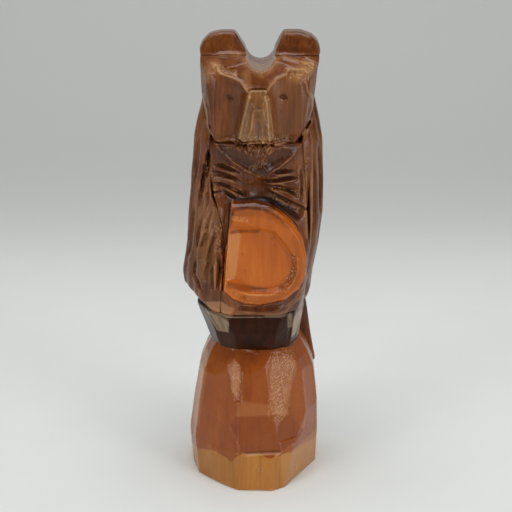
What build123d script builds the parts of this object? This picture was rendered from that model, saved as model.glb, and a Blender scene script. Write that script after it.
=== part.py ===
from build123d import *
import os

# Carved and varnished wooden owl standing on a flared stump.
# Units are millimetres.  Origin: centre of the resting face of the stump.
# +Z is up, the owl looks towards -Y, and +X is the owl's own left side.

# ---- overall sizes -------------------------------------------------------
total_height = 180.0
stump_top = 57.0
trunk_bottom = 74.0
chin_height = 140.0
ear_base = 171.5

# ---- stump ---------------------------------------------------------------
foot_width = 51.4
foot_depth = 50.4
shoulder_height = 51.0

# ---- belly disc ----------------------------------------------------------
disc_x = 2.5
disc_z = 98.8
disc_thick = 7.0
disc_face = -26.0
disc_bevel = 1.2
disc_clearance = 2.2
recess_depth = 2.4
disc_back = disc_face + disc_thick
recess_floor = disc_face + recess_depth

# ---- head ----------------------------------------------------------------
face_front = -21.0
eye_right_x = -9.6
eye_left_x = 10.4
eye_height = 157.6
nick_face = -17.2
nick_width = 1.0
nick_depth = 1.6
scoop_radius = 11.5
scoop_reach = 7.4
beak_x = 0.8
notch_x = 1.7
notch_floor = 167.2
notch_half_width = 5.3
notch_wall_foot = 173.0

# ---- hidden joinery ------------------------------------------------------
glue_gap = 0.05
perch_dowel_radius = 5.0
perch_dowel_foot = 36.0
perch_dowel_head = 92.0
neck_dowel_radius = 4.0
neck_dowel_foot = 122.0
neck_dowel_head = 156.0
dowel_y = 0.0
disc_peg_radius = 3.0
disc_peg_front = disc_face + 4.0
disc_peg_back = -8.0
wing_peg_radius = 2.0
wing_peg_length = 9.5
wing_peg_x = 16.3
wing_peg_heights = (96.0, 126.0)
wing_peg_places = [(side * wing_peg_x, height) for height in wing_peg_heights for side in (-1, 1)]

os.makedirs("parts", exist_ok=True)


def twelve_sided(left, right, front, back, fullness=0.0):
    """Corners of a square log's outline with its corners chopped twice; fullness squares it up."""
    flat = 0.42 + 0.6 * fullness
    corner = 0.80 + fullness
    side = 0.28 + 1.5 * fullness
    return [
        (flat * left, front), (flat * right, front),
        (corner * right, (0.74 + 0.6 * fullness) * front), (right, side * front),
        (right, 0.35 * back), (0.80 * right, 0.78 * back),
        (0.36 * right, back), (0.36 * left, back),
        (0.80 * left, 0.78 * back), (left, 0.35 * back),
        (left, side * front), (corner * left, (0.74 + 0.6 * fullness) * front),
    ]


def face_at(height, corners):
    """Flat face with the given corners, lying level at the given height."""
    with BuildSketch(Plane.XY.offset(height)) as outline:
        with BuildLine():
            Polyline(*corners, close=True)
        make_face()
    return outline.sketch


def log_block(levels, fullness=0.0):
    """Ruled block through outlines given as (height, left, right, front, back)."""
    outlines = [face_at(z, twelve_sided(xl, xr, yf, yb, fullness)) for z, xl, xr, yf, yb in levels]
    with BuildPart() as block:
        loft(sections=outlines, ruled=True)
    return block.part


def groove_blade(start, end, outward, width, depth):
    """V-section gouge stroke from start to end; outward points away from the wood."""
    overrun = 0.5
    rise = 3.0
    run = Vector(*end) - Vector(*start)
    entry = Vector(*start) - run.normalized() * overrun
    half = width / 2
    open_half = half * (depth + rise) / depth
    with BuildPart() as blade:
        with BuildSketch(Plane(origin=entry, x_dir=outward, z_dir=run)):
            with BuildLine():
                Polyline((-depth, 0), (rise, open_half), (rise, -open_half), close=True)
            make_face()
        extrude(amount=run.length + 2 * overrun)
    return blade.part


def log_point(level, around):
    """Point on a level's outline; around counts corners from the front, with fractions."""
    height, left, right, front, back = level
    corners = twelve_sided(left, right, front, back)
    edge = int(around)
    share = around - edge
    x0, y0 = corners[edge % 12]
    x1, y1 = corners[(edge + 1) % 12]
    return Vector(x0 + share * (x1 - x0), y0 + share * (y1 - y0), height)


def feather_blades(levels, bottom, top, width, depth):
    """Gouge strokes up the face of a log block, drifting round it from bottom to top."""
    steps = len(levels) - 1
    points = [log_point(level, bottom + (top - bottom) * i / steps) for i, level in enumerate(levels)]
    return [
        groove_blade(low, high, (low.X + high.X, low.Y + high.Y, 0), width, depth)
        for low, high in zip(points, points[1:])
    ]


def knife_plane(point, normal):
    """Flat knife cut through point; the wood on the side of normal falls away."""
    return Plane(origin=point, z_dir=normal)


# ---- stump ---------------------------------------------------------------
# Resting outline, worked round from the front facet.  The big facet at the right of the
# front fades out higher up, where the outline is the fuller one.
foot_corners = [
    (-7.2, -26.0), (6.6, -26.6), (11.4, -23.4), (24.8, 1.6), (25.2, 13.0), (13.0, 24.0),
    (-13.0, 24.0), (-25.6, 15.0), (-26.2, 1.0), (-23.4, -10.2), (-13.8, -20.8),
]
shoulder_corners = [
    (-7.2, -26.0), (6.6, -26.4), (17.8, -20.8), (25.0, -5.0), (25.2, 13.0), (13.0, 24.0),
    (-13.0, 24.0), (-25.6, 15.0), (-26.2, 1.0), (-24.0, -11.2), (-15.0, -21.4),
]


def stump_outline(height, fuller, width, depth, shift_x, shift_y):
    """Outline part way from foot to shoulder, scaled to a width and depth and moved sideways."""
    scale_x = width / foot_width
    scale_y = depth / foot_depth
    corners = [
        (scale_x * (x0 + fuller * (x1 - x0)) + shift_x, scale_y * (y0 + fuller * (y1 - y0)) + shift_y)
        for (x0, y0), (x1, y1) in zip(foot_corners, shoulder_corners)
    ]
    return face_at(height, corners)


stump_levels = [
    stump_outline(0.0, 0.0, foot_width, foot_depth, 0.0, 0.0),
    stump_outline(9.0, 0.1, foot_width + 2.6, foot_depth + 2.0, -0.5, 0.0),
    stump_outline(18.0, 0.4, foot_width + 1.4, foot_depth + 0.8, -0.2, 0.0),
    stump_outline(31.0, 1.0, foot_width - 1.0, foot_depth - 2.2, 0.4, 0.2),
    stump_outline(45.0, 1.0, foot_width - 5.0, foot_depth - 6.6, 0.7, 0.4),
    stump_outline(shoulder_height, 1.0, foot_width - 9.6, foot_depth - 9.6, 0.7, 0.8),
    stump_outline(stump_top, 1.0, foot_width - 16.4, foot_depth - 15.4, 0.6, 1.2),
]

tail_levels = [
    (36.0, -8.0, 26.6, -10.0, 25.5),
    (44.0, -9.0, 25.8, -10.0, 25.0),
    (58.0, -10.0, 23.6, -10.0, 22.5),
    (trunk_bottom + 6.0, -10.0, 21.4, -10.0, 19.5),
]
tail_block = log_block(tail_levels)

with BuildPart() as tail:
    add(tail_block)
    split(bisect_by=knife_plane((0, 10.0, 58.0), (0, -1, 0)), keep=Keep.BOTTOM)
    split(bisect_by=knife_plane((24.0, 12.0, 41.0), (0.5, -0.1, -0.8)), keep=Keep.BOTTOM)
    split(bisect_by=knife_plane((9.0, 25.0, 38.0), (-0.1, 0.55, -0.8)), keep=Keep.BOTTOM)

tail_blades = [
    blade
    for around in (4.55, 5.0, 5.6, 6.2, 6.8)
    for blade in feather_blades(tail_levels, around, around, 2.0, 1.1)
]

with BuildPart() as foot_envelope:
    add(log_block([
        (stump_top, -17.8, 16.6, -17.2, 14.0),
        (64.0, -20.0, 17.8, -20.6, 15.0),
        (70.5, -22.4, 18.8, -23.6, 16.0),
        (trunk_bottom, -23.6, 19.2, -24.6, 16.0),
    ]))

with BuildPart() as stump:
    loft(sections=stump_levels, ruled=True)
    # low shield-shaped facet over the bare band, then the shoulder facets round the neck
    split(bisect_by=knife_plane((4.0, -25.2, 20.0), (0.10, -1.0, 0.16)), keep=Keep.BOTTOM)
    split(bisect_by=knife_plane((-17.0, -16.4, 30.0), (-0.62, -0.76, 0.13)), keep=Keep.BOTTOM)
    split(bisect_by=knife_plane((6.4, -21.6, 45.0), (0.40, -0.90, 0.18)), keep=Keep.BOTTOM)
    split(bisect_by=knife_plane((14.0, -18.0, 40.0), (0.56, -0.80, 0.12)), keep=Keep.BOTTOM)
    split(bisect_by=knife_plane((-8.0, -18.6, 51.0), (-0.25, -0.85, 0.62)), keep=Keep.BOTTOM)
    add(tail.part, mode=Mode.SUBTRACT)
    with Locations((0, dowel_y, perch_dowel_foot)):
        Cylinder(perch_dowel_radius + glue_gap, stump_top - perch_dowel_foot + 1.0,
                 align=(Align.CENTER, Align.CENTER, Align.MIN), mode=Mode.SUBTRACT)
stump.part.label = "stump"
export_step(stump.part, "parts/stump.step")

with BuildPart() as foot_block:
    add(foot_envelope.part)
    split(bisect_by=knife_plane((0.5, -21.4, 66.0), (0.0, -1.0, -0.28)), keep=Keep.BOTTOM)
    split(bisect_by=knife_plane((-16.2, -17.0, 66.0), (-0.66, -0.70, -0.34)), keep=Keep.BOTTOM)
    split(bisect_by=knife_plane((15.0, -16.5, 66.0), (0.76, -0.60, -0.26)), keep=Keep.BOTTOM)
    add(tail.part, mode=Mode.SUBTRACT)
    with Locations((0, dowel_y, stump_top - 1.0)):
        Cylinder(perch_dowel_radius + glue_gap, trunk_bottom - stump_top + 2.0,
                 align=(Align.CENTER, Align.CENTER, Align.MIN), mode=Mode.SUBTRACT)
foot_block.part.label = "foot_block"
export_step(foot_block.part, "parts/foot_block.step")

# ---- head with its face scoops -------------------------------------------
head_block = log_block([
    (chin_height, -16.6, 16.8, face_front + 1.0, 15.5),
    (147.0, -19.2, 20.8, face_front - 0.6, 16.5),
    (158.0, -20.6, 22.3, face_front, 17.0),
    (166.0, -20.9, 23.0, face_front + 0.5, 16.5),
    (ear_base, -21.2, 24.2, face_front + 1.0, 15.0),
], fullness=0.08)

# Each face disc is a shallow upright scoop whose roof is the slanting brow line.
with BuildPart() as right_scoop:
    with Locations(Pos(-11.2, face_front - scoop_reach, 150.0) * Rot(3.0, 0, 0)):
        Cylinder(scoop_radius, 44.0)
    split(bisect_by=knife_plane((-11.4, face_front, 165.2), (0.52, 0.20, 0.95)), keep=Keep.BOTTOM)
with BuildPart() as left_scoop:
    with Locations(Pos(12.8, face_front - scoop_reach, 150.0) * Rot(3.0, 0, 0)):
        Cylinder(scoop_radius, 44.0)
    split(bisect_by=knife_plane((12.4, face_front, 165.4), (-0.42, 0.20, 0.95)), keep=Keep.BOTTOM)

eye_nicks = [
    groove_blade((eye_right_x - 0.8, nick_face, eye_height + 0.4), (eye_right_x + 0.4, nick_face, eye_height - 0.6),
                 (0, -1, 0), nick_width, nick_depth),
    groove_blade((eye_left_x - 0.9, nick_face, eye_height + 0.6), (eye_left_x + 0.5, nick_face, eye_height - 0.2),
                 (0, -1, 0), nick_width, nick_depth),
]

# ---- beak: a wedge standing on the middle of the face --------------------
beak_outline = [(-2.4, 161.2), (3.9, 161.2), (6.0, 142.0), (-6.8, 142.0)]
with BuildPart() as beak_wedge:
    with BuildSketch(Plane.XZ.offset(15.0)):
        with BuildLine():
            Polyline(*beak_outline, close=True)
        make_face()
    extrude(amount=11.0)
    # upper bridge facet, long ridge facet, the two cheeks, and the tip
    split(bisect_by=knife_plane((beak_x, -22.4, 160.0), (0, -1.0, 0.42)), keep=Keep.BOTTOM)
    split(bisect_by=knife_plane((beak_x, -24.8, 149.0), (0, -1.0, 0.06)), keep=Keep.BOTTOM)
    split(bisect_by=knife_plane((-1.8, -24.4, 149.0), (-0.80, -0.70, 0.12)), keep=Keep.BOTTOM)
    split(bisect_by=knife_plane((3.7, -24.4, 149.0), (0.80, -0.70, 0.14)), keep=Keep.BOTTOM)
    split(bisect_by=knife_plane((beak_x, -24.4, 142.8), (0, -0.5, -1.0)), keep=Keep.BOTTOM)

# U-shaped notch that runs front to back between the ears
with BuildPart() as notch:
    with BuildSketch(Plane.XZ.offset(-40.0)):
        with BuildLine():
            ThreePointArc((notch_x - notch_half_width, notch_wall_foot), (notch_x, notch_floor),
                          (notch_x + notch_half_width, notch_wall_foot))
            Polyline((notch_x + notch_half_width, notch_wall_foot), (11.2, total_height + 2.0),
                     (-9.2, total_height + 2.0), (notch_x - notch_half_width, notch_wall_foot))
        make_face()
    extrude(amount=80.0)

with BuildPart() as head:
    add(head_block)
    # sloping top facets from the brows back to the ears, and the V panel between the brows
    split(bisect_by=knife_plane((-11.0, -18.6, 166.8), (-0.18, -0.46, 0.88)), keep=Keep.BOTTOM)
    split(bisect_by=knife_plane((13.0, -18.6, 167.4), (0.20, -0.44, 0.88)), keep=Keep.BOTTOM)
    split(bisect_by=knife_plane((beak_x, -20.4, 160.8), (0.0, -0.86, 0.52)), keep=Keep.BOTTOM)
    # bevels along the jaw, and the back of the crown
    split(bisect_by=knife_plane((-17.6, -17.0, 144.5), (-0.62, -0.62, -0.48)), keep=Keep.BOTTOM)
    split(bisect_by=knife_plane((18.6, -17.0, 145.0), (0.66, -0.58, -0.48)), keep=Keep.BOTTOM)
    split(bisect_by=knife_plane((0, 14.5, 169.0), (0, 0.75, 0.66)), keep=Keep.BOTTOM)
    split(bisect_by=knife_plane((0, -20.6, 142.0), (0, -0.60, -0.80)), keep=Keep.BOTTOM)
    add(right_scoop.part, mode=Mode.SUBTRACT)
    add(left_scoop.part, mode=Mode.SUBTRACT)
    add(eye_nicks, mode=Mode.SUBTRACT)
    add(notch.part, mode=Mode.SUBTRACT)
    add(beak_wedge.part, mode=Mode.SUBTRACT)
    with Locations((0, dowel_y, chin_height - 1.0)):
        Cylinder(neck_dowel_radius + glue_gap, neck_dowel_head - chin_height + 1.0,
                 align=(Align.CENTER, Align.CENTER, Align.MIN), mode=Mode.SUBTRACT)
head.part.label = "head"
export_step(head.part, "parts/head.step")

with BuildPart() as beak:
    add(beak_wedge.part)
beak.part.label = "beak"
export_step(beak.part, "parts/beak.step")


# ---- ears ----------------------------------------------------------------
def ear_shape(profile, front, back):
    """Ear cut from a slab: a front-view profile run from front to back."""
    with BuildPart() as slab:
        with BuildSketch(Plane.XZ.offset(-back)):
            with BuildLine():
                Polyline(*profile, close=True)
            make_face()
        extrude(amount=back - front)
        split(bisect_by=knife_plane((0, front, ear_base), (0, -0.90, 0.44)), keep=Keep.BOTTOM)
        split(bisect_by=knife_plane((0, back, ear_base + 2.0), (0, 0.82, 0.57)), keep=Keep.BOTTOM)
    return slab.part


right_ear_profile = [
    (-21.3, ear_base), (-21.6, 173.6), (-20.2, 176.2), (-17.6, 178.8), (-13.4, total_height),
    (-7.6, total_height), (-1.0, ear_base),
]
left_ear_profile = [
    (3.0, ear_base), (9.8, total_height), (17.0, total_height),
    (21.2, 178.4), (23.6, 176.0), (24.6, 173.0), (24.4, ear_base),
]

with BuildPart() as ear_right:
    add(ear_shape(right_ear_profile, -6.4, 10.0))
    add(notch.part, mode=Mode.SUBTRACT)
    split(bisect_by=knife_plane((-20.4, -3.0, 175.4), (-0.78, -0.35, 0.42)), keep=Keep.BOTTOM)
ear_right.part.label = "ear_right"
export_step(ear_right.part, "parts/ear_right.step")

with BuildPart() as ear_left:
    add(ear_shape(left_ear_profile, -7.2, 10.0))
    add(notch.part, mode=Mode.SUBTRACT)
    split(bisect_by=knife_plane((23.4, -3.0, 175.4), (0.78, -0.35, 0.42)), keep=Keep.BOTTOM)
ear_left.part.label = "ear_left"
export_step(ear_left.part, "parts/ear_left.step")

# ---- trunk and wings -----------------------------------------------------
# One outer log is parted by two slanting seams into body and wings.
trunk_levels = [
    (trunk_bottom, -24.0, 20.4, -24.0, 17.5),
    (80.0, -28.2, 21.6, -25.6, 19.0),
    (87.0, -29.0, 22.4, -25.8, 20.0),
    (98.0, -27.2, 24.6, -24.8, 20.5),
    (110.0, -26.4, 26.2, -21.6, 20.5),
    (124.0, -25.2, 26.3, -19.6, 20.2),
    (chin_height, -24.0, 25.6, -19.6, 19.6),
    (155.0, -20.9, 22.8, -16.0, 17.6),
]
trunk_block = log_block(trunk_levels)

# Seam outlines: the body lies between them, and the right wing laps towards the disc.
core_levels = [
    (trunk_bottom - 1.0, -13.8, -17.5, 17.0, 19.8),
    (84.0, -13.3, -17.5, 17.4, 20.2),
    (108.0, -12.6, -17.5, 18.0, 20.4),
    (114.5, -14.6, -17.5, 18.0, 20.0),
    (122.0, -17.2, -17.5, 18.0, 19.0),
    (156.0, -17.8, -16.5, 17.0, 16.0),
]
core_outlines = [
    face_at(z, [(front_left, -40.0), (front_left, -16.0), (left, -6.0), (left, 6.0), (-8.0, 40.0),
                (8.0, 40.0), (right, 6.0), (right, -8.0), (front_right, -15.0), (front_right, -40.0)])
    for z, front_left, left, right, front_right in core_levels
]
with BuildPart() as core:
    loft(sections=core_outlines, ruled=True)

# Rim of the disc, clockwise from the upper corner beside the right wing.
disc_corners = [
    (-9.3, 118.8), (-0.6, 119.3), (4.9, 117.9), (9.6, 114.6), (14.0, 110.4), (17.7, 104.8), (19.2, 97.5),
    (18.9, 90.5), (16.6, 85.2), (11.4, 80.8), (6.5, 79.2), (1.0, 78.4), (-4.5, 78.9), (-9.4, 80.8), (-12.4, 83.7),
]
with BuildPart() as belly_disc_blank:
    with BuildSketch(Plane.XZ.offset(-disc_back)):
        with BuildLine():
            Polyline(*disc_corners, close=True)
        make_face()
    extrude(amount=disc_thick)
    # bevel all round the face except along the straight side, which is the longest edge
    chamfer(belly_disc_blank.faces().sort_by(Axis.Y)[0].edges().sort_by(SortBy.LENGTH)[:-1], length=disc_bevel)

# Sunk floor, clockwise from its upper left corner: x, z, and how far the wall of the
# edge that starts there leans back before it meets the rim.
floor_corners = [
    (-5.7, 107.6, 3.0), (2.1, 107.4, 2.4), (6.9, 106.4, 1.8), (12.4, 98.9, 2.7), (13.1, 93.2, 2.6),
    (11.9, 89.5, 2.8), (8.7, 86.0, 1.8), (3.7, 84.5, 1.4), (-0.6, 84.5, 2.4), (-8.0, 88.9, 4.5),
]
with BuildPart() as recess:
    with Locations((disc_x, disc_face, disc_z)):
        Box(60.0, 2 * recess_depth, 60.0)
    for (x0, z0, run), (x1, z1, _) in zip(floor_corners, floor_corners[1:] + floor_corners[:1]):
        across = Vector(z0 - z1, 0, x1 - x0).normalized() * recess_depth
        split(bisect_by=knife_plane((x0, recess_floor, z0), (across.X, run, across.Z)), keep=Keep.BOTTOM)

with BuildPart() as belly_disc:
    add(belly_disc_blank.part)
    add(recess.part, mode=Mode.SUBTRACT)
    with Locations(Pos(disc_x, disc_back + 0.01, disc_z) * Rot(90, 0, 0)):
        Cylinder(disc_peg_radius + glue_gap, disc_back - disc_peg_front + 0.01,
                 align=(Align.CENTER, Align.CENTER, Align.MIN), mode=Mode.SUBTRACT)
belly_disc.part.label = "belly_disc"
export_step(belly_disc.part, "parts/belly_disc.step")

# Gouge strokes that make the chest feathers, fanning out below the chin:
# height at the breastbone, height at the wing, and the wing's side
chest_strokes = [
    (128.6, 132.4, -1), (126.6, 128.2, -1), (124.2, 123.8, -1), (121.8, 119.4, -1),
    (128.2, 132.0, 1), (125.8, 127.2, 1), (123.6, 121.6, 1), (121.6, 113.4, 1),
]
chest_blades = [
    groove_blade((2.0 + 1.6 * side, -19.2, inner), (1.0 + 16.4 * side, -16.4, outer), (0, -1, 0), 1.8, 0.8)
    for inner, outer, side in chest_strokes
]

back_blades = [
    blade for around in (6.1, 6.5, 6.9) for blade in feather_blades(trunk_levels, around, around, 2.4, 1.1)
]

with BuildPart() as carved_trunk:
    add(trunk_block)
    add(core.part, mode=Mode.INTERSECT)
    split(bisect_by=Plane.XY.offset(chin_height), keep=Keep.BOTTOM)
    # hollow breast above the disc, dark V under the chin, and undercut below the disc
    with Locations((2.0, -24.2, 122.0)):
        Sphere(7.5, mode=Mode.SUBTRACT)
    split(bisect_by=knife_plane((-9.0, -19.4, 138.0), (-0.34, -1.0, 0.20)), keep=Keep.BOTTOM)
    split(bisect_by=knife_plane((12.0, -19.4, 138.0), (0.34, -1.0, 0.20)), keep=Keep.BOTTOM)
    with BuildSketch(Plane.XZ.offset(-disc_back)):
        with BuildLine():
            Polyline(*disc_corners, close=True)
        make_face()
        offset(amount=disc_clearance)
        with Locations((disc_x, trunk_bottom - 2.0)):
            Rectangle(60.0, 12.0, align=(Align.CENTER, Align.MIN), mode=Mode.SUBTRACT)
    extrude(amount=20.0, mode=Mode.SUBTRACT)
    add(belly_disc_blank.part, mode=Mode.SUBTRACT)
    add(tail.part, mode=Mode.SUBTRACT)
    add(chest_blades, mode=Mode.SUBTRACT)
    add(back_blades, mode=Mode.SUBTRACT)
    with Locations((0, dowel_y, trunk_bottom - 1.0)):
        Cylinder(perch_dowel_radius + glue_gap, perch_dowel_head - trunk_bottom + 1.0,
                 align=(Align.CENTER, Align.CENTER, Align.MIN), mode=Mode.SUBTRACT)
    with Locations((0, dowel_y, neck_dowel_foot)):
        Cylinder(neck_dowel_radius + glue_gap, chin_height - neck_dowel_foot + 1.0,
                 align=(Align.CENTER, Align.CENTER, Align.MIN), mode=Mode.SUBTRACT)
    with Locations(Pos(disc_x, disc_peg_back, disc_z) * Rot(90, 0, 0)):
        Cylinder(disc_peg_radius + glue_gap, disc_peg_back - disc_back + 1.0,
                 align=(Align.CENTER, Align.CENTER, Align.MIN), mode=Mode.SUBTRACT)
    for peg_x, peg_z in wing_peg_places:
        with Locations(Pos(peg_x, 0, peg_z) * Rot(0, 90, 0)):
            Cylinder(wing_peg_radius + glue_gap, wing_peg_length, mode=Mode.SUBTRACT)

# chips left loose where strokes cross the seams fall away
with BuildPart() as body:
    add(carved_trunk.part.solids().sort_by(SortBy.VOLUME)[-1])
body.part.label = "body"
export_step(body.part, "parts/body.step")

# Long feathers: gouge strokes (where each starts below, where it ends above)
wing_levels = trunk_levels[1:]
right_wing_strokes = [
    (11.30, 11.62), (10.92, 11.30), (10.55, 10.95), (10.12, 10.45), (9.55, 9.80), (9.05, 9.20), (8.50, 8.55),
]
left_wing_strokes = [(2.45, 2.35), (3.00, 2.85), (3.45, 3.30), (3.85, 3.80), (4.35, 4.35), (4.90, 4.90)]
right_wing_blades = [
    blade for low, high in right_wing_strokes for blade in feather_blades(wing_levels, low, high, 2.4, 1.2)
]
left_wing_blades = [
    blade for low, high in left_wing_strokes for blade in feather_blades(wing_levels, low, high, 2.2, 1.1)
]
with BuildPart() as wings:
    add(trunk_block)
    add(core.part, mode=Mode.SUBTRACT)
    add(head_block, mode=Mode.SUBTRACT)
    add(belly_disc_blank.part, mode=Mode.SUBTRACT)
    add(foot_envelope.part, mode=Mode.SUBTRACT)
    add(tail.part, mode=Mode.SUBTRACT)
    for peg_x, peg_z in wing_peg_places:
        with Locations(Pos(peg_x, 0, peg_z) * Rot(0, 90, 0)):
            Cylinder(wing_peg_radius + glue_gap, wing_peg_length, mode=Mode.SUBTRACT)

with BuildPart() as wing_right:
    add(wings.part.solids().filter_by(lambda s: s.center().X < 0).sort_by(SortBy.VOLUME)[-1])
    split(bisect_by=knife_plane((-23.4, -20.0, 79.6), (-0.62, -0.10, -0.78)), keep=Keep.BOTTOM)
    add(right_wing_blades, mode=Mode.SUBTRACT)
wing_right.part.label = "wing_right"
export_step(wing_right.part, "parts/wing_right.step")

with BuildPart() as wing_left:
    add(wings.part.solids().filter_by(lambda s: s.center().X > 0).sort_by(SortBy.VOLUME)[-1])
    split(bisect_by=knife_plane((21.0, -12.0, 85.0), (0.30, -0.75, -0.62)), keep=Keep.BOTTOM)
    add(left_wing_blades, mode=Mode.SUBTRACT)
wing_left.part.label = "wing_left"
export_step(wing_left.part, "parts/wing_left.step")

with BuildPart() as tail_carved:
    add(tail.part)
    add(tail_blades, mode=Mode.SUBTRACT)
tail_carved.part.label = "tail"
export_step(tail_carved.part, "parts/tail.step")

# ---- hidden joinery ------------------------------------------------------
with BuildPart() as perch_dowel:
    with Locations((0, dowel_y, perch_dowel_foot)):
        Cylinder(perch_dowel_radius, perch_dowel_head - perch_dowel_foot,
                 align=(Align.CENTER, Align.CENTER, Align.MIN))
perch_dowel.part.label = "perch_dowel"
export_step(perch_dowel.part, "parts/perch_dowel.step")

with BuildPart() as neck_dowel:
    with Locations((0, dowel_y, neck_dowel_foot)):
        Cylinder(neck_dowel_radius, neck_dowel_head - neck_dowel_foot,
                 align=(Align.CENTER, Align.CENTER, Align.MIN))
neck_dowel.part.label = "neck_dowel"
export_step(neck_dowel.part, "parts/neck_dowel.step")

with BuildPart() as disc_peg:
    with Locations(Pos(disc_x, disc_peg_back, disc_z) * Rot(90, 0, 0)):
        Cylinder(disc_peg_radius, disc_peg_back - disc_peg_front,
                 align=(Align.CENTER, Align.CENTER, Align.MIN))
disc_peg.part.label = "disc_peg"
export_step(disc_peg.part, "parts/disc_peg.step")

with BuildPart() as wing_pegs:
    for peg_x, peg_z in wing_peg_places:
        with Locations(Pos(peg_x, 0, peg_z) * Rot(0, 90, 0)):
            Cylinder(wing_peg_radius, wing_peg_length)
wing_pegs.part.label = "wing_pegs"
export_step(wing_pegs.part, "parts/wing_pegs.step")
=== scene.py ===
import math

import bpy
import numpy as np
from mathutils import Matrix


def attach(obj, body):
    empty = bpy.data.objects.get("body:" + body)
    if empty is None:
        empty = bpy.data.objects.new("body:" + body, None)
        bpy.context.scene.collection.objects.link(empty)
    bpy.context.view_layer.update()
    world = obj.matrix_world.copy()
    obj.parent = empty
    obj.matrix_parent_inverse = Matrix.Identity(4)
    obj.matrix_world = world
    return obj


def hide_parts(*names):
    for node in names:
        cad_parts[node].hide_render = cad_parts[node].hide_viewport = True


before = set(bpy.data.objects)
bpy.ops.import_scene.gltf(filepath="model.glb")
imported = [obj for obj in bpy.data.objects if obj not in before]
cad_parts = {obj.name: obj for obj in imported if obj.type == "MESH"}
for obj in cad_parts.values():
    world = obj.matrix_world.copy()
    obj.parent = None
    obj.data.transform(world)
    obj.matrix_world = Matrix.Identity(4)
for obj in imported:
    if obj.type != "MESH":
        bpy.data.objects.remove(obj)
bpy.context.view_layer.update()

import openvdb as vdb

MM = 0.001  # one millimetre in Blender's metres
CELL = 0.34  # grid cell of the ten upper blocks, mm
STUMP_CELL = 0.45  # grid cell of the stump, mm
BAND = 6.0  # distances are exact this far from a surface, mm
MARGIN = 1.5  # empty grid round a block, mm
SKIN = 2.0  # depth of wood that edges and softening look at, mm
DEEP = 3.0  # distances are levelled off at this depth before they are averaged, mm
FACET_EDGE = 0.5  # width of the edge of a facet, mm
FAR = 1e3  # beyond any part of the figure, mm


# ---------------------------------------------------------------- carving kit
def unit(vector):
    vector = np.asarray(vector, dtype=np.float64)
    return vector / np.linalg.norm(vector)


def box_blur(values, reach):
    """Average over a cube of cells, run twice so that its edges are soft."""
    for _ in range(2):
        for k in range(3):
            pads = [(0, 0)] * 3
            pads[k] = (reach + 1, reach)
            total = np.cumsum(np.pad(values, pads, mode="edge"), axis=k, dtype=np.float32)
            total = np.moveaxis(total, k, 0)
            values = np.moveaxis((total[2 * reach + 1:] - total[:-2 * reach - 1]) / (2 * reach + 1), 0, k)
    return values


def interpolate(values, place):
    """Values between grid cells, at places counted in cells."""
    place = np.clip(place, 0, np.array(values.shape) - 1.001)
    low = place.astype(int)
    share = place - low
    total = 0
    for step in np.ndindex(2, 2, 2):
        weight = np.prod(np.where(step, share, 1 - share), axis=1)
        total = total + weight * values[tuple((low + step).T)]
    return total


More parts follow.
